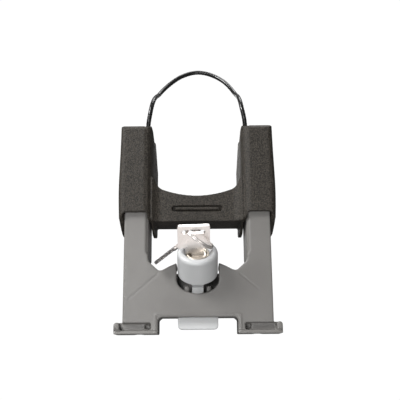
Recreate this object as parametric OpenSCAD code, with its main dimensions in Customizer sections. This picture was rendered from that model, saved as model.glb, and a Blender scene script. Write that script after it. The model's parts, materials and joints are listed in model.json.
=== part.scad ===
// Bag mount: a black clamp bracket with two round seats slides on the two arms
// of a grey carrier and is jacked up by screws, a steel cable loops from one
// arm over the seats and comes back into the other arm, and a locking release
// slider sits in the middle of the carrier.
// Drawing datum: X = 0 in the middle, Y = 0 on the front face of the carrier
// (+Y to the rear), Z up along the arms. At the end everything is shifted so
// that the axis of the round seats is the origin.

/* [Round seats] */
// Radius of the round seat in both arm tips
bar_r = 13; // [12.7:0.1:13.2]
// From the carrier's front face back to the seats' axis
bar_y = 15; // [14.8:0.1:15.2]
// From the drawing datum up to the seats' axis
bar_z = 49; // [48.8:0.1:49.2]

/* [Clamp bracket] */
// Half of the width over both sleeves
br_half = 41.3; // [41:0.1:42]
// Half of the depth step between bracket front and carrier front
br_front = 2.5; // [2.2:0.1:2.8]
// Where the front wall of a sleeve ends below
notch_z = -6.5; // [-7.5:0.5:-5.5]
// Height of the middle of the bridge's curved top edge
arch_z = 3; // [2:0.5:4]
// Underside of the bridge
bridge_z = -11.2; // [-12:0.2:-10.6]
// Lowest point of the side prongs
prong_z = -16.6; // [-17.5:0.3:-16]

/* [Carrier] */
// Half of the width over both arms
arm_half = 38.4; // [38:0.1:38.4]
// Front wall thickness
wall = 2.4; // [2:0.1:2.6]
// Depth of the carrier's rim walls
rim_y = 14; // [13.5:0.1:14]
// Lower edge of the plate between the feet
plate_z = -61.1; // [-61.6:0.1:-60.8]
// Underside of the feet
foot_z = -69.4; // [-70:0.1:-69]

/* [Release and lock] */
// Outside radius of the round release button
button_r = 10.4; // [10:0.1:10.6]
// Length of the button along its axis
button_len = 14.1; // [13.8:0.1:14.1]
// Lean of the button's axis out of the carrier's face, in degrees
button_lean = 46; // [45:0.5:47]
// Radius of the lock housing
lock_r = 6; // [5.8:0.1:6]
// Half of the width of the tongue below the plate
tongue_half = 10.3; // [9.5:0.1:10.4]

/* [Cable] */
// Diameter of the coated cable
cable_d = 2.5; // [2.2:0.1:2.5]

/* [Screws] */
// Radius of the jack screws' shanks
jack_r = 2; // [1.9:0.05:2]
// Distance of the jack screws from the middle
jack_x = 31; // [30.8:0.1:31.2]

/* [Hidden] */
$fn = 48;

black = [0.20, 0.19, 0.18];
grey = [0.52, 0.50, 0.48];
pale = [0.70, 0.72, 0.73];
steel = [0.80, 0.78, 0.77];
brass = [0.75, 0.62, 0.35];

jack_y = 10.5;                 // jack screw behind the carrier's face
lock_y = -8.05;                // centre of the button's top face
lock_z = -28.4;
key_turn = 3;                  // the key stands a little askew, in degrees

// ---- placing helpers ----
module at_bar() { translate([0, -bar_y, -bar_z]) children(); }
module slab_x(x0, x1) { translate([x0, 0, 0]) rotate([90, 0, 90]) linear_extrude(x1 - x0) children(); }
module slab_y(y0, y1) { translate([0, y1, 0]) rotate([90, 0, 0]) linear_extrude(y1 - y0) children(); }
module slab_z(z0, z1) { translate([0, 0, z0]) linear_extrude(z1 - z0) children(); }
module box(a, b) { translate(a) cube(b - a); }
module both() { children(); mirror([1, 0, 0]) children(); }
module side(s) { if (s > 0) children(); else mirror([1, 0, 0]) children(); }
module at_lock() { translate([0, lock_y, lock_z]) rotate([button_lean, 0, 0]) children(); }
module tube_y(x, z, r, y0, y1) { translate([x, y1, z]) rotate([90, 0, 0]) cylinder(r = r, h = y1 - y0); }
module tube_x(y, z, r, x0, x1) { translate([x0, y, z]) rotate([0, 90, 0]) cylinder(r = r, h = x1 - x0); }

// corner arc of radius r about c, from angle a0 to a1
function arc(c, r, a0, a1, n = 5) = [for (i = [0:n]) let (a = a0 + (a1 - a0) * i / n) [c[0] + r * cos(a), c[1] + r * sin(a)]];
function flip(p) = [for (i = [len(p) - 1:-1:0]) [-p[i][0], p[i][1]]];

// ---- clamp bracket ----
// plan section of the right-hand sleeve
function sleeve_plan() = [
  [28.3, -br_front], [38.7, -br_front], [39.9, -2.1], [40.9, -1.1], [br_half, 0.3],
  [br_half, 25.2], [40.4, 26.6], [23.6, 26.6], [22.2, 25.4],
  [23.5, 4], [24.0, 1.4], [24.8, -0.6], [26.2, -1.9]];
// front outline of the right-hand sleeve
function sleeve_front() = [
  [21.6, prong_z - 1], [21.6, 12], [24.0, 40], [24.8, 42.6], [26, 44],
  [39.6, 44], [40.5, 42.6], [40.9, 40.4], [41.3, 22], [41.4, 0], [41.1, -10], [40.6, prong_z - 1]];
// side outline of a sleeve: front edge, tip lips, back flare, slanted prong
function sleeve_side() = [
  [-br_front, -7.0], [-br_front, 39.4], [-2.1, 40.4], [-1.2, 41.1], [0.2, 41.8], [3.3, 43.2],
  [25.6, 41.2], [26.5, 39.8], [26.4, 35.5], [25.2, 30], [23.4, 25], [23, 20],
  [23, -14.4], [22.4, -15.9], [21, prong_z], [13, prong_z], [10.8, -16.1], [8, -14.9], [3.4, -12.4], [-0.8, -9.5], [-2, -8.2]];
// plan of the bridge, its front face curves forward into the sleeves
function bridge_plan() = concat(
  [[-24.2, -1.0], [-23.5, -0.4], [-22.6, 0.3], [-21.6, 0.9], [-20.6, 1.3], [-19.4, 1.5]],
  [[19.4, 1.5], [20.6, 1.3], [21.6, 0.9], [22.6, 0.3], [23.5, -0.4], [24.2, -1.0]],
  [[24.2, 23], [-24.2, 23]]);
function arch(x) = let (u = abs(x)) arch_z + 0.01 * u * u + (u > 18 ? 2.5 * pow((u - 18) / 4.2, 3) : 0);
function bridge_front() = concat(
  [[-24.4, bridge_z], [24.4, bridge_z], [24.4, 13]],
  [for (i = [0:34]) let (x = 22.9 - 45.8 * i / 34) [x, arch(x)]],
  [[-24.4, 13]]);

module sleeve() {
  intersection() {
    slab_z(prong_z - 0.5, 44) polygon(sleeve_plan());
    slab_y(-3, 27) polygon(sleeve_front());
    slab_x(20, 42) polygon(sleeve_side());
  }
}

module clamp_bracket() color(black) difference() {
  union() {
    both() sleeve();
    intersection() {
      slab_z(bridge_z, 14) polygon(bridge_plan());
      slab_y(-2, 23) polygon(bridge_front());
    }
  }
  // round seat across both tips
  tube_x(bar_y, bar_z, bar_r, -45, 45);
  both() {
    // channel that slides on the carrier's arm
    slab_z(-20, 31) polygon([[27.0, -0.3], [38.65, -0.3], [38.65, 14.6], [24.45, 14.6], [25.4, 1.1]]);
    // front wall ends in a round-cornered notch
    slab_y(-3, 0.4) polygon(concat([[39.3, -20]], arc([37.3, notch_z - 2], 2, 0, 90), arc([28.2, notch_z - 2], 2, 90, 180), [[26.2, -20]]));
    // nothing behind the arm below the bridge
    box([24.45, -3, -20], [38.65, 24, bridge_z]);
    // lightening pocket in the back
    box([25.6, 17, bridge_z + 2.2], [38.6, 28, 27]);
    // cable passage and seat of the jack screw in the tip
    translate([26.8, 2.5, 29]) cylinder(r = 1.9, h = 16);
    translate([jack_x, jack_y, 30]) cylinder(r = jack_r + 0.1, h = 4);
  }
  // hollow back of the bridge
  slab_y(4, 24) polygon([[-19.5, bridge_z + 2.2], [19.5, bridge_z + 2.2], [19.5, 3.6], [12, 1.9], [5, 0.8], [-5, 0.8], [-12, 1.9], [-19.5, 3.6]]);
  // slot with a raised bar in the bridge's face
  difference() {
    slab_y(0, 2.9) polygon(concat(arc([11.9, -4.2], 1.6, -90, 90, 8), arc([-11.9, -4.2], 1.6, 90, 270, 8)));
    slab_y(-1, 3.5) polygon([[-11.8, -4.95], [11.8, -4.95], [11.8, -3.35], [-11.8, -3.35]]);
  }
}

// ---- carrier ----
function half_outline() = concat(
  [[0, plate_z], [18.9, plate_z], [20.3, plate_z - 1.2], [20.3, foot_z], [arm_half, foot_z], [arm_half, 24],
   [29.3, 24], [29.3, -5], [27, -5], [27, -27.4], [25.8, -29.2], [25.8, -30.6]],
  arc([22.2, -30.6], 3.6, 0, -44, 3),
  [[20.6, -36.9], [19.6, -37.2], [18.2, -36.9]],
  [[14.8, -35.1], [10.9, -33.4], [6, -31.6], [0, -30.7]]);
module plate_outline() { polygon(concat(half_outline(), flip(half_outline()))); }

module carrier() color(grey) difference() {
  union() {
    difference() {
      union() {
        slab_y(0, rim_y) plate_outline();
        // inner arm walls lean in towards the rear
        both() slab_z(-31.5, -5) polygon([[26.4, 0.8], [27.4, 0.2], [28.4, 0.2], [28.4, rim_y], [24.85, rim_y], [25.75, 1.3]]);
      }
      // hollow back
      slab_y(wall, rim_y + 1) polygon([[36.2, -5], [36.2, -65.5], [22.6, -65.5], [22.6, -58.9],
        [-22.6, -58.9], [-22.6, -65.5], [-36.2, -65.5], [-36.2, -5], [-27.9, -5], [-27.9, -31.8],
        [-20.4, -39.6], [-12.9, -36.2], [12.9, -36.2], [20.4, -39.6], [27.9, -31.8], [27.9, -5]]);
      // inside the sleeves only the front and outer walls go on
      both() box([28.2, 2.2, -5.1], [36.2, rim_y + 1, 25]);
    }
    both() {
      // boss for the jack nut
      box([29.3, 2, 13], [36.4, 5.4, 23]);
      box([26.6, 5.4, 13], [36.4, 13.8, 23]);
      // ribs above and below the cable clamp
      box([27.2, 2, -6.8], [36.6, rim_y, -5]);
      box([27.2, 2, -19], [36.6, rim_y, -17.1]);
      // foot: ledge, back wall and outer end of the hook channel
      box([20.3, -1.5, foot_z], [42.7, rim_y, -67.5]);
      box([22.5, 2.2, -67.6], [42.7, 4.4, -63.6]);
      slab_y(-1.5, rim_y) polygon(concat([[39.7, foot_z], [42.7, foot_z]], arc([41.2, -65], 1.5, 0, 180, 8)));
      // screw bosses for the rear cover
      tube_y(13.5, -40.5, 2.7, 2, 13.5);
      tube_y(13.5, -54, 2.7, 2, 13.5);
      // guides of the slider's tail
      box([4.4, 2, -54.2], [7, 8, -45]);
    }
    // seat of the return spring
    box([-14, 6.7, -57.6], [14, 13.4, -56]);
    translate([0, 10, -56.2]) cylinder(r = 1.4, h = 2.2);
    box([-15.4, 2, -57.6], [-12, 13.4, -56]);
    box([12, 2, -57.6], [15.4, 13.4, -56]);
  }
  both() {
    // undercut of the hook channel
    box([24, -3, -67.5], [39.7, 2.2, -63.9]);
    box([24.3, 1, -66.9], [27, 3.7, -64.4]);
    // ways for the jack screw, its nut and the cable
    translate([jack_x, jack_y, 12]) cylinder(r = jack_r + 0.3, h = 12);
    box([27.4, 6.9, 16.9], [34.6, 15, 20.3]);
    box([28.4, 3.4, -7], [33.4, 15, -4]);
    box([28.4, 3.4, -20], [33.4, 15, -17]);
    translate([jack_x, jack_y, -71]) cylinder(r = 3.3, h = 6);
    tube_x(4.9, -12, 1.6, 35, 40);
    // screw holes of the cover
    tube_y(13.5, -40.5, 1, 4.5, 14);
    tube_y(13.5, -54, 1, 4.5, 14);
  }
  // round-bottomed opening for the button, open through the arched top
  slab_y(-1, wall + 0.1) polygon(concat([[10.9, -20]], [for (i = [0:16]) let (a = -180 * i / 16) [10.9 * cos(a), -42 + 7.2 * sin(a)]], [[-10.9, -20]]));
  box([-10.9, -1, -40], [10.9, rim_y + 1, -20]);
  // slot for the tongue in the lower wall
  box([-10.7, wall, -63], [10.7, 6.8, -58]);
}

// ---- release slider with its button ----
module release_slider() color(pale) union() {
  at_lock() rotate_extrude($fn = 96) polygon([[lock_r + 0.03, -button_len], [button_r, -button_len],
    [button_r, -1.9], [10.2, -1.1], [9.8, -0.5], [9.2, -0.1], [8.5, 0], [7.5, 0], [7.1, -0.3], [6.7, -1.2], [lock_r + 0.03, -1.3]]);
  // neck back through the opening, tail behind the plate, tongue below
  box([-3, -5.0, -45.6], [3, 6.2, -43]);
  box([-3, 3, -56], [3, 6.2, -43]);
  slab_y(3, 6.2) polygon(concat([[-tongue_half, -54.6]], arc([-tongue_half + 2, -65.2], 2, 180, 270), arc([tongue_half - 2, -65.2], 2, 270, 360), [[tongue_half, -54.6]]));
  // lug that the spring pushes up
  box([-3, 6, -46], [3, 12.6, -44]);
  translate([0, 10, -48.4]) cylinder(r = 1.3, h = 2.6);
}

// ---- swept tubes ----
function unit(v) = v / max(norm(v), 1e-9);
// rings of n points round a path, each ring turned with the path
function frames(p, i = 0, up = [0, 1, 0], out = []) = i == len(p) ? out :
  let (t = unit(p[min(i + 1, len(p) - 1)] - p[max(i - 1, 0)]), a = unit(cross(t, cross(up, t))))
  frames(p, i + 1, a, concat(out, [[a, cross(t, a)]]));
module sweep(p, r, n) {
  f = frames(p);
  pts = [for (i = [0:len(p) - 1]) for (k = [0:n - 1]) p[i] + r * (cos(360 * k / n) * f[i][0] + sin(360 * k / n) * f[i][1])];
  m = len(p);
  faces = concat([[for (k = [0:n - 1]) k]], [[for (k = [n - 1:-1:0]) (m - 1) * n + k]],
    [for (i = [0:m - 2]) for (k = [0:n - 1]) for (h = [0, 1]) let (a = i * n + k, b = i * n + (k + 1) % n)
      h == 0 ? [a, a + n, b] : [b, a + n, b + n]]);
  polyhedron(points = pts, faces = faces, convexity = 6);
}

// return spring: six turns of round wire
spring_r = 2.15;
function coil(n) = [for (i = [0:n]) let (a = 360 * 6 * i / n) [spring_r * cos(a), 10 + spring_r * sin(a), -55.7 + 9.4 * i / n]];
module release_spring() color(steel) sweep(coil(84), 0.28, 6);

// route of the cable: out of the right arm, over the seats and across the rear
arm_route = [[30, 4.9, -22], [30, 4.9, -16], [30, 4.9, -10], [30, 4.9, -5], [29.8, 4.8, 0], [29.2, 4.4, 5],
  [28.3, 3.8, 10], [27.5, 3.3, 15], [27.1, 3, 20], [27, 2.9, 26], [26.9, 2.9, 32], [26.8, 2.9, 38], [26.7, 2.7, 41]];
right_route = [[26.5, 1.9, 43.3], [26.2, 1, 45.9], [25.6, 0.6, 49.2], [25, 1, 52.4], [24.5, 2.4, 56], [24.1, 4.4, 58.8],
  [23.7, 7, 61.2], [23.4, 10, 63.3], [23, 13, 65.1], [22.3, 16, 67.6], [21.2, 18.2, 70.3], [19.8, 20, 73.1],
  [18.1, 21.6, 75.9], [15.8, 23.2, 78.8], [12.8, 24.8, 81.6], [9.4, 26, 83.9], [5.5, 26.8, 85.6], [1.3, 27, 86.3]];
left_route = [[-2.8, 26.8, 85.8], [-6.8, 26, 84.2], [-10.4, 24.8, 81.9], [-13.6, 23.4, 79], [-16.4, 21.8, 75.9],
  [-18.7, 20, 72.8], [-20.5, 18.1, 69.9], [-21.8, 16, 67.2], [-22.6, 13, 65], [-23, 10, 63.3], [-23.4, 7, 61.2],
  [-23.9, 4.4, 58.8], [-24.4, 2.4, 56], [-25, 1, 52.4], [-25.5, 0.6, 49.2], [-26.1, 1, 45.9], [-26.5, 1.9, 43.3]];
function back_route() = [for (i = [len(arm_route) - 1:-1:0]) [-arm_route[i][0], arm_route[i][1], arm_route[i][2]]];
module wire_cable() color([0.12, 0.12, 0.12]) sweep(concat(arm_route, right_route, left_route, back_route()), cable_d / 2, 8);

// ---- cable ends ----
module cable_clamp(s) color(brass) side(s) difference() {
  box([28.1, 2.5, -17], [34.4, 7.3, -7]);
  translate([30, 4.9, -18]) cylinder(r = cable_d / 2 + 0.05, h = 12);
  tube_x(4.9, -12, 2.04, 30, 36);
}
module grub_screw(s) color([0.35, 0.35, 0.36]) side(s) difference() {
  tube_x(4.9, -12, 2, 31.4, 35.8);
  tube_x(4.9, -12, 1, 34, 37, $fn = 6);
}
module cable_ferrule(s) color(steel) side(s) difference() {
  translate([30, 4.9, -23.5]) cylinder(r = 1.7, h = 4.1);
  translate([30, 4.9, -22]) cylinder(r = cable_d / 2 + 0.02, h = 4);
}

// ---- jack screws and nuts ----
module jack_screw(s) color(steel) side(s) difference() {
  union() {
    translate([jack_x, jack_y, -22]) cylinder(r = jack_r, h = 55.9);
    translate([jack_x, jack_y, -26]) cylinder(r = 2.9, h = 4);
  }
  translate([jack_x, jack_y, -27]) cylinder(r = 1.6, h = 3.4, $fn = 6);
}
module jack_nut(s) color(steel) side(s) difference() {
  box([27.5, 7, 17], [34.5, 14, 20.2]);
  translate([jack_x, jack_y, 16]) cylinder(r = jack_r + 0.05, h = 6);
}

// ---- rear cover ----
module slider_cover() color(grey) difference() {
  slab_y(13.6, 15.2) polygon([[-17, -57.4], [17, -57.4], [17, -40], [14.5, -37.4], [-14.5, -37.4], [-17, -40]]);
  both() {
    tube_y(13.5, -40.5, 1.3, 13, 16);
    tube_y(13.5, -54, 1.3, 13, 16);
  }
}
module cover_screw(x, z) difference() {
  union() {
    tube_y(x, z, 0.96, 5, 15.3);
    tube_y(x, z, 2.2, 15.25, 16.9);
  }
  for (a = [0, 90]) translate([x, 16.9, z]) rotate([0, a, 0]) cube([2.6, 2, 0.6], center = true);
}
module cover_screws() color(steel) { for (x = [-13.5, 13.5]) for (z = [-40.5, -54]) cover_screw(x, z); }

// ---- lock ----
module lock_body() color(steel) at_lock() rotate_extrude($fn = 96) polygon([[4.45, -14], [lock_r, -14], [lock_r, -1.9],
  [5.7, -1.5], [5.1, -1.35], [4.45, -1.9]]);
module lock_plug() color(steel) at_lock() rotate([0, 0, key_turn]) difference() {
  union() {
    translate([0, 0, -14.2]) cylinder(r = 4.4, h = 12.1);
    translate([0, 0, -15.9]) intersection() {
      cylinder(r = 2.6, h = 2.5);
      translate([-3, -1.8, 0]) cube([6, 3.6, 2.5]);
    }
  }
  translate([-3.25, -0.95, -13.9]) cube([6.5, 1.9, 13]);
  for (z = [-12.2, -9.8, -7.4, -5]) translate([-3.85, -1.85, z]) cube([7.7, 3.7, 1.1]);
  translate([0, 0, -17]) cylinder(r = 1.05, h = 3.3);
}
module lock_wafers() color(brass) at_lock() rotate([0, 0, key_turn]) for (z = [-12.2, -9.8, -7.4, -5]) difference() {
  translate([-3.8, -1.8, z + 0.05]) cube([7.6, 3.6, 1]);
  translate([-3.3, -0.9, z - 1]) cube([6.6, 1.8, 3]);
}
module lock_cam() color(steel) at_lock() rotate([0, 0, key_turn]) difference() {
  translate([0, 0, -15.8]) linear_extrude(1.4) union() {
    circle(r = 4.2);
    polygon([[-2.5, 0], [2.5, 0], [2.1, 8.6], [1.4, 9.4], [-1.4, 9.4], [-2.1, 8.6]]);
  }
  translate([0, 0, -17]) intersection() {
    cylinder(r = 2.64, h = 4);
    translate([-3, -1.84, 0]) cube([6, 3.68, 4]);
  }
}
module cam_screw() color(steel) at_lock() rotate([0, 0, key_turn]) difference() {
  union() {
    translate([0, 0, -17.4]) cylinder(r = 2.7, h = 1.45);
    translate([0, 0, -16.5]) cylinder(r = 1, h = 2.6);
  }
  translate([-2, -0.3, -17.6]) cube([4, 0.6, 0.9]);
}

// a flat key in its own plane: s = 0 at the button's face, blade downwards
module key_blank(slot_h) {
  difference() {
    translate([0, 0.9, 0]) rotate([90, 0, 0]) linear_extrude(1.8) difference() {
      polygon(concat([[-3, -12.6], [-1.6, -13.8], [1.6, -13.8], [3, -12.6], [3, -0.9], [3.1, -0.9], [3.1, 2.2]],
        arc([5.5, 3], 0.8, -90, 0, 3), arc([5.5, 14.8], 0.8, 0, 90, 3), arc([-9.1, 14.8], 0.8, 90, 180, 3), arc([-9.1, 3], 0.8, 180, 270, 3),
        [[-6.2, 2.2], [-6.2, -0.9], [-3, -0.9]]));
      polygon(concat(arc([-6.6, 12.2], slot_h / 2, 90, 270, 6), arc([2.8, 12.2], slot_h / 2, -90, 90, 6)));
      // cuts of the bitting
      for (i = [0:3]) polygon([[3.4, -11.9 + 2.4 * i], [3.4, -10.1 + 2.4 * i], [2.2, -10.7 + 2.4 * i], [2.2, -11.3 + 2.4 * i]]);
      for (i = [0:3]) polygon([[-3.4, -11.2 + 2.5 * i], [-3.4, -9.4 + 2.5 * i], [-2.4, -10 + 2.5 * i], [-2.4, -10.6 + 2.5 * i]]);
    }
    // the blade is thinner than the bow and grooved
    translate([-4, 0.75, -15]) cube([8, 1, 14.2]);
    translate([-4, -1.75, -15]) cube([8, 1, 14.2]);
    translate([-0.5, 0.45, -15]) cube([1, 1, 14.2]);
  }
}
module key() color(steel) at_lock() rotate([0, 0, key_turn]) key_blank(2.4);

// split ring through the key's slot: two turns of wire side by side
ring_c = [0.82, 2.26, 6.65];
ring_n = unit([0.613, 0.269, 0.743]);
ring_u = unit(cross(ring_n, [0, 0, 1]));
ring_v = cross(ring_n, ring_u);
module at_ring() {
  at_lock() rotate([0, 0, key_turn]) translate(ring_c)
    multmatrix([for (i = [0:2]) [ring_u[i], ring_v[i], ring_n[i], 0]]) children();
}
module key_ring() color(steel) at_ring() union() {
  rotate_extrude($fn = 64) translate([8.37, 0.43]) circle(r = 0.45, $fn = 20);
  rotate_extrude($fn = 64) translate([8.37, -0.43]) circle(r = 0.45, $fn = 20);
}

// spare key: hangs on the ring behind the first one, blade down to the left.
// Its plane is given by the blade's direction and the width's direction.
sp_o = [-10.87, -3.93, -25.69];
sp_k = unit([-0.7743, -0.1284, -0.6197]);
sp_w = unit([0.1652, -0.9862, -0.0021] - ([0.1652, -0.9862, -0.0021] * sp_k) * sp_k);
sp_n = cross(-sp_k, sp_w);
module at_spare() {
  translate(sp_o) multmatrix([for (i = [0:2]) [sp_w[i], sp_n[i], -sp_k[i], 0]]) children();
}
module spare_key() color(steel) at_spare() key_blank(3.4);

at_bar() clamp_bracket();
at_bar() carrier();
at_bar() release_slider();
at_bar() release_spring();
at_bar() slider_cover();
at_bar() cover_screws();
at_bar() lock_body();
at_bar() lock_plug();
at_bar() lock_wafers();
at_bar() lock_cam();
at_bar() cam_screw();
at_bar() key();
at_bar() key_ring();
at_bar() spare_key();
at_bar() wire_cable();
at_bar() cable_clamp(-1);  // cable_clamp_left
at_bar() cable_clamp(1);  // cable_clamp_right
at_bar() grub_screw(-1);  // grub_screw_left
at_bar() grub_screw(1);  // grub_screw_right
at_bar() cable_ferrule(-1);  // cable_ferrule_left
at_bar() cable_ferrule(1);  // cable_ferrule_right
at_bar() jack_screw(-1);  // jack_screw_left
at_bar() jack_screw(1);  // jack_screw_right
at_bar() jack_nut(-1);  // jack_nut_left
at_bar() jack_nut(1);  // jack_nut_right
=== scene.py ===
import json
import math

import bmesh
import bpy
import numpy as np
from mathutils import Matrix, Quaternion, Vector

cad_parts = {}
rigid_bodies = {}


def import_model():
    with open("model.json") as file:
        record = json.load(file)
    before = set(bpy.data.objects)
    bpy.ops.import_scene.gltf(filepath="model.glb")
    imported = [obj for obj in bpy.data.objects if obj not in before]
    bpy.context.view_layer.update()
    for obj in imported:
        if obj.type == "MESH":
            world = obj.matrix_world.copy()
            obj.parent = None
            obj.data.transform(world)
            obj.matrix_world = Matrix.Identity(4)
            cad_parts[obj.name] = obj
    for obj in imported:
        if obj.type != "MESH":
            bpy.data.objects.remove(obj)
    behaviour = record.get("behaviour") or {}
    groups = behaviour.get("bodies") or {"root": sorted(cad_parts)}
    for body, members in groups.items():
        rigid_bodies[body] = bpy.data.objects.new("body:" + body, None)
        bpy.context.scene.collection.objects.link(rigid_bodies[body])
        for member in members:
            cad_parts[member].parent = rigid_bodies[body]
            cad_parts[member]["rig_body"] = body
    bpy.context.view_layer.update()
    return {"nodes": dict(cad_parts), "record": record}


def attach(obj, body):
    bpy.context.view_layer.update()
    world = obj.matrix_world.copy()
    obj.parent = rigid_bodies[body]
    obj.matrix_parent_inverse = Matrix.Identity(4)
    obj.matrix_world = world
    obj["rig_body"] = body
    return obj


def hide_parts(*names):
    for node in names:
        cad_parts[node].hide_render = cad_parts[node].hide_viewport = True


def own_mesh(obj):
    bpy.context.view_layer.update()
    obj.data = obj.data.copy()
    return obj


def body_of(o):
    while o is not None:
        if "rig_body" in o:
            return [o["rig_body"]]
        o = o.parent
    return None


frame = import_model()
nodes = frame["nodes"]

# drawing datum of the part: x in the middle, y = 0 on the carrier's face
ORIGIN = np.array([0.0, 15.0, 49.0])


def row(p):
    return (np.asarray(p, float) - ORIGIN) / 1000.0


# ------------------------------------------------------------------ camera
cam_data = bpy.data.cameras.new("camera")
cam = bpy.data.objects.new("camera", cam_data)
bpy.context.scene.collection.objects.link(cam)
cam_data.sensor_width = 36.0
cam_data.lens = 55.98
cam_data.clip_start = 0.01
cam_data.clip_end = 20.0
cam.location = Vector((0.0015, -0.3352, -0.1288))
look = Vector((0.0, 0.9703, 0.2419))
cam.rotation_mode = "QUATERNION"
cam.rotation_quaternion = look.to_track_quat("-Z", "Y") @ Quaternion((0, 0, 1), math.radians(-0.5))
bpy.context.scene.camera = cam


# --------------------------------------------------------------- materials
def new_material(name):
    m = bpy.data.materials.new(name)
    m.use_nodes = True
    t = m.node_tree
    t.nodes.clear()
    out = t.nodes.new("ShaderNodeOutputMaterial")
    b = t.nodes.new("ShaderNodeBsdfPrincipled")
    t.links.new(b.outputs["BSDF"], out.inputs["Surface"])
    return m, t, b


def coords(t):
    return t.nodes.new("ShaderNodeTexCoord").outputs["Object"]


def noise(t, vec, scale, detail=3.0, rough=0.5):
    n = t.nodes.new("ShaderNodeTexNoise")
    n.inputs["Scale"].default_value = scale
    n.inputs["Detail"].default_value = detail
    n.inputs["Roughness"].default_value = rough
    t.links.new(vec, n.inputs["Vector"])
    return n


def ramp(t, fac, a, b, lo=0.35, hi=0.65):
    r = t.nodes.new("ShaderNodeValToRGB")
    r.color_ramp.elements[0].position = lo
    r.color_ramp.elements[1].position = hi
    r.color_ramp.elements[0].color = (*a, 1)
    r.color_ramp.elements[1].color = (*b, 1)
    t.links.new(fac, r.inputs["Fac"])
    return r.outputs["Color"]


def bevel_bump(t, b, radius, height=None, strength=0.2, distance=0.0001):
    bev = t.nodes.new("ShaderNodeBevel")
    bev.samples = 4
    bev.inputs["Radius"].default_value = radius
    normal = bev.outputs["Normal"]
    if height is not None:
        bump = t.nodes.new("ShaderNodeBump")
        bump.inputs["Strength"].default_value = strength
        bump.inputs["Distance"].default_value = distance
        t.links.new(height, bump.inputs["Height"])
        t.links.new(normal, bump.inputs["Normal"])
        normal = bump.outputs["Normal"]
    t.links.new(normal, b.inputs["Normal"])


def plastic(name, dark, light, rough, spec=0.5, grain=900.0, strength=0.25, distance=0.00008, radius=0.0005, rough_to=None, subsurface=0.0, speckle=False):
    m, t, b = new_material(name)
    v = coords(t)
    fine = noise(t, v, grain, 4.0, 0.6)
    broad = noise(t, v, 45.0, 3.0, 0.5)
    if speckle:
        t.links.new(ramp(t, fine.outputs["Fac"], dark, light, 0.40, 0.62), b.inputs["Base Color"])
    else:
        t.links.new(ramp(t, broad.outputs["Fac"], dark, light), b.inputs["Base Color"])
    if rough_to is None:
        b.inputs["Roughness"].default_value = rough
    else:
        t.links.new(ramp(t, fine.outputs["Fac"], (rough,) * 3, (rough_to,) * 3), b.inputs["Roughness"])
    b.inputs["Specular IOR Level"].default_value = spec
    if subsurface:
        b.inputs["Subsurface Weight"].default_value = subsurface
        b.inputs["Subsurface Radius"].default_value = (0.004, 0.004, 0.0045)
        b.inputs["Subsurface Scale"].default_value = 0.6
    bevel_bump(t, b, radius, fine.outputs["Fac"], strength, distance)
    return m


def metal(name, colour, rough, radius=0.0002, scale=1500.0, strength=0.05, rough_to=None):
    m, t, b = new_material(name)
    v = coords(t)
    fine = noise(t, v, scale, 3.0, 0.6)
    b.inputs["Base Color"].default_value = (*colour, 1)
    b.inputs["Metallic"].default_value = 1.0
    if rough_to is None:
        b.inputs["Roughness"].default_value = rough
    else:
        t.links.new(ramp(t, fine.outputs["Fac"], (rough,) * 3, (rough_to,) * 3), b.inputs["Roughness"])
    bevel_bump(t, b, radius, fine.outputs["Fac"], strength, 0.00005)
    return m


BLACK = plastic("bracket_black", (0.0080, 0.0066, 0.0048), (0.044, 0.0376, 0.0302), 0.44, 0.24, 1500.0, 1.0, 0.00030, 0.0005, 0.62, 0.0, True)
GREY = plastic("carrier_grey", (0.118, 0.1128, 0.1065), (0.136, 0.1305, 0.1235), 0.38, 0.5, 900.0, 0.12, 0.00006, 0.0005, 0.52)
PALE = plastic("slider_pale", (0.415, 0.420, 0.421), (0.458, 0.463, 0.465), 0.36, 0.5, 700.0, 0.04, 0.00004, 0.0006, None, 0.25)
NICKEL = metal("nickel", (0.84, 0.80, 0.775), 0.27, 0.00025, 900.0, 0.04, 0.35)
STEEL = metal("zinc_steel", (0.62, 0.61, 0.60), 0.32, 0.0002, 1200.0, 0.05, 0.42)
SATIN = metal("nickel_satin", (0.52, 0.475, 0.41), 0.36, 0.0002, 900.0, 0.05, 0.46)
# a darker copy of the nickel: painted shade for a key that lies in shadow, not wear
NICKEL_PAINTED_SHADE = metal("nickel_shaded", (0.46, 0.44, 0.43), 0.24, 0.0002, 900.0, 0.04, 0.32)
OXIDE = metal("black_steel", (0.10, 0.10, 0.10), 0.4)
BRASS = metal("brass", (0.72, 0.55, 0.28), 0.28)
CABLE, ct, cb = new_material("cable_black")
cb.inputs["Base Color"].default_value = (0.006, 0.006, 0.006, 1)
cb.inputs["Roughness"].default_value = 0.24
cb.inputs["Specular IOR Level"].default_value = 0.4

SLOTS = {m["slot"]: m for m in frame["record"]["materials"]}
BY_SLOT = {
    "bracket_black": BLACK, "carrier_grey": GREY, "slider_pale": PALE, "cable_black": CABLE,
    "zinc_steel": STEEL, "black_steel": OXIDE, "nickel": NICKEL, "brass": BRASS,
}
SLOT_OF = {s["node"]: s["material_slot"] for s in frame["record"]["subparts"]}


def paint(obj, material):
    obj.data.materials.clear()
    obj.data.materials.append(material)


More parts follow.
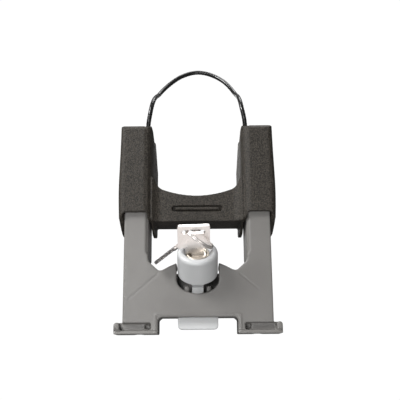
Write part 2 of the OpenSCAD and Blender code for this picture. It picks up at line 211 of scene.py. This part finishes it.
# ------------------------------------------------- softened copies of nodes
def moulded(node, voxel, rounds, shape=None, keep=0.3, body=None):
    """The node's own shape as one even skin whose edges are rounded, as a moulded part's are."""
    src = nodes[node]
    me = src.data.copy()
    bm = bmesh.new()
    bm.from_mesh(me)
    bmesh.ops.remove_doubles(bm, verts=bm.verts, dist=2e-6)
    bm.to_mesh(me)
    bm.free()
    tmp = bpy.data.objects.new(node + "_tmp", me)
    bpy.context.scene.collection.objects.link(tmp)
    rem = tmp.modifiers.new("skin", "REMESH")
    rem.mode = "VOXEL"
    rem.voxel_size = voxel
    rem.use_smooth_shade = True
    smo = tmp.modifiers.new("round", "SMOOTH")
    smo.factor = 0.5
    smo.iterations = rounds
    bpy.context.view_layer.update()
    got = bpy.data.meshes.new_from_object(tmp.evaluated_get(bpy.context.evaluated_depsgraph_get()))
    bpy.data.objects.remove(tmp)
    got.name = node + "_moulded"
    if shape is not None:
        n = len(got.vertices)
        co = np.empty(n * 3)
        no = np.empty(n * 3)
        got.vertices.foreach_get("co", co)
        got.vertex_normals.foreach_get("vector", no)
        co = shape(co.reshape(-1, 3), no.reshape(-1, 3))
        got.vertices.foreach_set("co", co.ravel())
        got.update()
    tmp = bpy.data.objects.new(node + "_tmp", got)
    bpy.context.scene.collection.objects.link(tmp)
    dec = tmp.modifiers.new("fewer", "DECIMATE")
    dec.ratio = keep
    bpy.context.view_layer.update()
    got = bpy.data.meshes.new_from_object(tmp.evaluated_get(bpy.context.evaluated_depsgraph_get()))
    bpy.data.objects.remove(tmp)
    got.name = node + "_moulded"
    got.polygons.foreach_set("use_smooth", [True] * len(got.polygons))
    o = bpy.data.objects.new(node + "_moulded", got)
    bpy.context.scene.collection.objects.link(o)
    paint(o, BY_SLOT[SLOT_OF[node]])
    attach(o, body or body_of(src)[0])
    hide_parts(node)
    return o


def creases(co, no):
    """Faint moulded lines that run from the arms' inner corners out over the plate's front."""
    out = co.copy()
    front = no[:, 1] < -0.9
    for (x0, z0), (x1, z1) in (((-20.7, -39.1), (-35.9, -52.1)), ((21.6, -39.1), (31.2, -47.0))):
        a = np.array([x0 - ORIGIN[0], z0 - ORIGIN[2]]) / 1000.0
        b = np.array([x1 - ORIGIN[0], z1 - ORIGIN[2]]) / 1000.0
        d = b - a
        q = co[:, [0, 2]] - a
        u = np.clip(q @ d / (d @ d), 0, 1)
        r = np.linalg.norm(q - u[:, None] * d, axis=1)
        out[:, 1] += np.where(front, 0.00016 * np.exp(-(r / 0.00045) ** 2) * (1 - 0.5 * u), 0)
    x, y, z = co[:, 0] * 1000, co[:, 1] * 1000 + ORIGIN[1], co[:, 2] * 1000 + ORIGIN[2]
    # raised bead beside the plate's lower edge, down to the feet
    across = np.where(np.abs(x) < 21.7, np.abs(z + 59.7), 9.0)
    down = np.where((z < -59.7) & (z > -68.5), np.abs(np.abs(x) - 21.7), 9.0)
    out[:, 1] -= np.where(front & (y < 0.6), 0.00030 * np.exp(-(np.minimum(across, down) / 0.45) ** 2), 0)
    # the ledges' front faces lean back towards their upper edge
    lip = (np.abs(x) > 20.2) & (y < -0.7) & (z < -67.45)
    out[:, 1] += np.where(lip, 0.0008 * np.clip((z + 69.4) / 1.5, 0, 1), 0)
    return out


def own_copy(node):
    """A separate object with the node's shape, which can follow a joint."""
    me = nodes[node].data.copy()
    o = bpy.data.objects.new(node + "_shown", me)
    bpy.context.scene.collection.objects.link(o)
    me.polygons.foreach_set("use_smooth", [True] * len(me.polygons))
    paint(o, BY_SLOT[SLOT_OF[node]])
    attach(o, body_of(nodes[node])[0])
    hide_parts(node)
    return o


def bulge(co, no):
    """The sleeves' outer walls swell a little at half height."""
    out = co.copy()
    x, z = co[:, 0] * 1000, co[:, 2] * 1000 + ORIGIN[2]
    side = np.clip((np.abs(x) - 37.5) / 2.5, 0, 1)
    out[:, 0] += np.sign(x) * 0.00055 * side * np.exp(-((z - 6.0) / 15.0) ** 2)
    return out


for n, o in nodes.items():
    paint(o, BY_SLOT[SLOT_OF[n]])

# the spare key gets the darker nickel copy as painted shade
paint(nodes["spare_key"], NICKEL_PAINTED_SHADE)
paint(nodes["lock_body"], SATIN)
paint(nodes["lock_plug"], SATIN)
bracket = moulded("clamp_bracket", 0.0003, 6, bulge)
carrier = moulded("carrier", 0.00036, 4, creases)
slider = moulded("release_slider", 0.0003, 5)
spring = own_copy("release_spring")
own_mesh(spring)


# ------------------------------------------------------------------- cable
ARM = [[30, 4.9, -22], [30, 4.9, -16], [30, 4.9, -10], [30, 4.9, -5], [29.8, 4.8, 0], [29.2, 4.4, 5],
       [28.3, 3.8, 10], [27.5, 3.3, 15], [27.1, 3, 20], [27, 2.9, 26], [26.9, 2.9, 32], [26.8, 2.9, 38], [26.7, 2.7, 41]]
RIGHT = [[26.5, 1.9, 43.3], [26.2, 1, 45.9], [25.6, 0.6, 49.2], [25, 1, 52.4], [24.5, 2.4, 56], [24.1, 4.4, 58.8],
         [23.7, 7, 61.2], [23.4, 10, 63.3], [23, 13, 65.1], [22.3, 16, 67.6], [21.2, 18.2, 70.3], [19.8, 20, 73.1],
         [18.1, 21.6, 75.9], [15.8, 23.2, 78.8], [12.8, 24.8, 81.6], [9.4, 26, 83.9], [5.5, 26.8, 85.6], [1.3, 27, 86.3]]
LEFT = [[-2.8, 26.8, 85.8], [-6.8, 26, 84.2], [-10.4, 24.8, 81.9], [-13.6, 23.4, 79], [-16.4, 21.8, 75.9],
        [-18.7, 20, 72.8], [-20.5, 18.1, 69.9], [-21.8, 16, 67.2], [-22.6, 13, 65], [-23, 10, 63.3], [-23.4, 7, 61.2],
        [-23.9, 4.4, 58.8], [-24.4, 2.4, 56], [-25, 1, 52.4], [-25.5, 0.6, 49.2], [-26.1, 1, 45.9], [-26.5, 1.9, 43.3]]
ROUTE = np.array(ARM + RIGHT + LEFT + [[-p[0], p[1], p[2]] for p in reversed(ARM)], float)


def smooth_path(points, step):
    """Catmull-Rom through the points, then evenly spaced."""
    p = np.vstack([2 * points[0] - points[1], points, 2 * points[-1] - points[-2]])
    out = []
    for i in range(1, len(p) - 2):
        for t in np.linspace(0, 1, 12, endpoint=False):
            a, b, c, d = p[i - 1], p[i], p[i + 1], p[i + 2]
            out.append(0.5 * (2 * b + (c - a) * t + (2 * a - 5 * b + 4 * c - d) * t * t + (3 * b - a - 3 * c + d) * t ** 3))
    out.append(p[-2])
    out = np.array(out)
    s = np.r_[0, np.cumsum(np.linalg.norm(np.diff(out, axis=0), axis=1))]
    n = int(round(s[-1] / step))
    u = np.linspace(0, s[-1], n + 1)
    return np.c_[[np.interp(u, s, out[:, k]) for k in range(3)]].T, s[-1]


def tube(name, path, radius, sides, ridge=0.0, strands=0, pitch=1.0):
    """A tube swept along path with strands laid round it."""
    n = len(path)
    tang = np.gradient(path, axis=0)
    tang /= np.linalg.norm(tang, axis=1)[:, None]
    up = np.array([0.0, 1.0, 0.0])
    verts, faces = [], []
    s = np.r_[0, np.cumsum(np.linalg.norm(np.diff(path, axis=0), axis=1))]
    prev = None
    for i in range(n):
        a = np.cross(tang[i], up) if prev is None else prev - (prev @ tang[i]) * tang[i]
        a /= np.linalg.norm(a)
        b = np.cross(tang[i], a)
        prev = a
        for k in range(sides):
            f = 2 * math.pi * k / sides
            r = radius
            if strands:
                r = radius - ridge * (1 - abs(math.cos(strands * 0.5 * (f - 2 * math.pi * s[i] / pitch))) ** 0.7)
            verts.append(path[i] + r * (math.cos(f) * a + math.sin(f) * b))
    for i in range(n - 1):
        for k in range(sides):
            k2 = (k + 1) % sides
            faces.append((i * sides + k, i * sides + k2, (i + 1) * sides + k2, (i + 1) * sides + k))
    faces.append(tuple(range(sides - 1, -1, -1)))
    faces.append(tuple((n - 1) * sides + k for k in range(sides)))
    me = bpy.data.meshes.new(name)
    me.from_pydata([tuple(v) for v in verts], [], faces)
    me.update()
    for p in me.polygons[:-2]:
        p.use_smooth = True
    o = bpy.data.objects.new(name, me)
    bpy.context.scene.collection.objects.link(o)
    return o


route_mm, route_len = smooth_path(ROUTE, 0.45)
path = row(route_mm)
cable = tube("cable", path, 0.00125, 24, 0.00014, 6, 0.011)
paint(cable, CABLE)
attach(cable, "carrier")
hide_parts("wire_cable")

# ---------------------------------------------------------------- lighting
bpy.context.scene.view_settings.view_transform = "Standard"
world = bpy.data.worlds.new("world")
world.use_nodes = True
bpy.context.scene.world = world
world.node_tree.nodes["Background"].inputs["Color"].default_value = (1, 1, 1, 1)
world.node_tree.nodes["Background"].inputs["Strength"].default_value = 0.23


def area(name, loc, target, size, power, colour=(1, 1, 1)):
    d = bpy.data.lights.new(name, "AREA")
    d.shape = "RECTANGLE"
    d.size, d.size_y = size
    d.energy = power
    d.color = colour
    o = bpy.data.objects.new(name, d)
    bpy.context.scene.collection.objects.link(o)
    o.location = loc
    o.rotation_mode = "QUATERNION"
    o.rotation_quaternion = (Vector(target) - Vector(loc)).to_track_quat("-Z", "Y")
    return o


def card(name, corners, strength, colour=(1, 1, 1), glow=True):
    me = bpy.data.meshes.new(name)
    me.from_pydata([tuple(c) for c in corners], [], [(0, 1, 2, 3)])
    o = bpy.data.objects.new(name, me)
    bpy.context.scene.collection.objects.link(o)
    m = bpy.data.materials.new(name)
    m.use_nodes = True
    t = m.node_tree
    t.nodes.clear()
    out = t.nodes.new("ShaderNodeOutputMaterial")
    if glow:
        e = t.nodes.new("ShaderNodeEmission")
        e.inputs["Color"].default_value = (*colour, 1)
        e.inputs["Strength"].default_value = strength
        t.links.new(e.outputs["Emission"], out.inputs["Surface"])
    else:
        e = t.nodes.new("ShaderNodeBsdfDiffuse")
        e.inputs["Color"].default_value = (*colour, 1)
        t.links.new(e.outputs["BSDF"], out.inputs["Surface"])
    me.materials.append(m)
    return o


def glint(o):
    """A card that shows in gloss alone."""
    o.visible_camera = False
    o.visible_diffuse = False
    o.visible_shadow = False
    o.visible_transmission = False
    return o


def level(name, cx, cy, z, sx, sy, strength, colour=(1, 1, 1), glow=True):
    return card(name, [(cx - sx, cy - sy, z), (cx + sx, cy - sy, z), (cx + sx, cy + sy, z), (cx - sx, cy + sy, z)], strength, colour, glow)


centre = (0, 0, -0.07)
dome_mesh = bpy.data.meshes.new("backdrop")
bm = bmesh.new()
bmesh.ops.create_icosphere(bm, subdivisions=4, radius=2.6)
bm.to_mesh(dome_mesh)
bm.free()
backdrop = bpy.data.objects.new("backdrop", dome_mesh)
bpy.context.scene.collection.objects.link(backdrop)
floor = level("floor", 0, 0, -0.75, 1.6, 1.3, 0.84, (1.0, 0.995, 0.985))
dome_mesh.materials.append(floor.data.materials[0].copy())
dome_mesh.materials[0].node_tree.nodes["Emission"].inputs["Strength"].default_value = 1.03
dome_mesh.materials[0].node_tree.nodes["Emission"].inputs["Color"].default_value = (1, 1, 1, 1)
for o in (backdrop, floor):
    o.visible_diffuse = False
    o.visible_glossy = False
    o.visible_shadow = False
low_card = glint(level("low_card", -0.02, -0.12, -0.42, 0.15, 0.10, 1.05, (1.0, 0.96, 0.94)))
front_card = glint(card("front_card", [(-0.02, -0.80, -0.08), (0.32, -0.80, -0.08), (0.32, -0.80, 0.26), (-0.02, -0.80, 0.26)], 1.0, (0.03, 0.03, 0.03), False))
under_card = glint(card("under_card", [(-0.05, 0.07, -0.135), (0.05, 0.07, -0.135), (0.05, 0.07, -0.076), (-0.05, 0.07, -0.076)], 1.0, (0.02, 0.02, 0.02), False))
area("key_light", (-0.52, -0.46, 0.50), centre, (0.35, 0.35), 11.5)
area("top_light", (0.10, 0.05, 0.70), centre, (0.4, 0.4), 3.0)
area("low_light", (0.07, -0.42, -0.36), centre, (0.2, 0.2), 0.9)
area("back_light", (-0.15, 0.85, 0.35), centre, (0.5, 0.5), 1.3)
area("front_fill", (-0.22, -0.75, -0.06), centre, (0.3, 0.3), 2.6)
